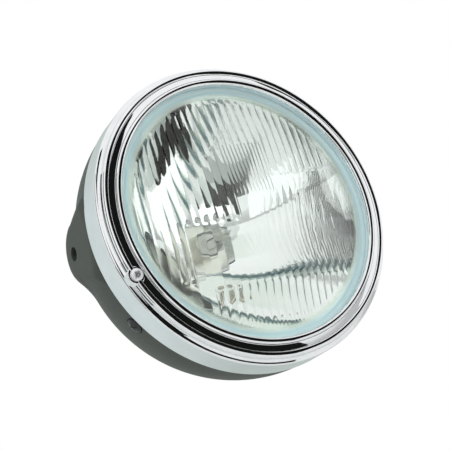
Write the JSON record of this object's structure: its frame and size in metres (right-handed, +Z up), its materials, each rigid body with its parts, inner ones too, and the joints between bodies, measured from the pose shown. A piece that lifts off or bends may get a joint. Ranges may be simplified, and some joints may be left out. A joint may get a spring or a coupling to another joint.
{
  "type": "motorcycle headlight",
  "caption": "Round motorcycle headlight: moulded shell with side ears, stamped chrome rim, fluted glass, parabolic reflector with bulb, and a screw that swings the beam sideways.",
  "frame": {"origin": "on the lamp's axis, midway between the two ear holes, which is also the centre of its box", "axes": "+X out of the right ear's hole as seen from the front, +Y rearwards along the lamp's axis, so the glass faces -Y, +Z up"},
  "size_m": [0.189, 0.11, 0.189],
  "materials": {
    "shell_plastic": "fine satin moulded",
    "chrome_plate": "mirror polished",
    "clear_glass": "clear, fluted inside",
    "bulb_glass": "clear",
    "mirror_coat": "vacuum metallised",
    "zinc_steel": "bright zinc plated",
    "yellow_zinc": "pale yellow passivated",
    "black_steel": "black oxide",
    "spring_steel": "bright drawn wire",
    "black_rubber": "matte",
    "grey_rubber": "matte",
    "tinned_brass": "tinned",
    "ivory_plastic": "moulded",
    "tungsten": "dull grey wire"
  },
  "bodies": {
    "root": {"headlamp_shell": "shell_plastic", "cable_grommet": "black_rubber", "ear_nuts": "zinc_steel", "chrome_rim": "chrome_plate", "top_bracket": "zinc_steel", "bottom_bracket": "zinc_steel", "pivot_pins": "zinc_steel", "side_brackets": "zinc_steel", "retaining_screws": "black_steel", "retaining_nuts": "zinc_steel", "aim_spring": "spring_steel"},
    "beam_unit": {"lens": "clear_glass", "lens_gasket": "grey_rubber", "reflector": "mirror_coat", "mounting_ring": "zinc_steel", "unit_clips": "spring_steel", "aim_nut": "zinc_steel", "bulb_seat": "zinc_steel", "bulb_base": "yellow_zinc", "bulb_insulator": "ivory_plastic", "bulb_terminals": "tinned_brass", "bulb_glass": "bulb_glass", "bulb_shield": "tungsten", "bulb_filaments": "tungsten", "bulb_clip": "spring_steel", "bulb_boot": "black_rubber", "pilot_holder": "ivory_plastic", "pilot_bulb": "bulb_glass", "pilot_terminals": "tinned_brass"},
    "aim_screw_body": {"aim_screw": "chrome_plate"}
  },
  "joints": [
    {"name": "beam_aim", "type": "hinge", "parent": "root", "child": "beam_unit", "pos_m": [0, -0.0424, 0], "axis": [0, 0, 1], "range_deg": [-2, 2], "deforming": ["aim_spring"]},
    {"name": "aim_screw_spin", "type": "hinge", "parent": "root", "child": "aim_screw_body", "pos_m": [-0.08251, -0.05, -0.03283], "axis": [0, 1, 0], "range_deg": [-1500, 1500]}
  ],
  "couplings": [
    {"joint": "aim_screw_spin", "follows": "beam_aim", "ratio": 740.6}
  ]
}
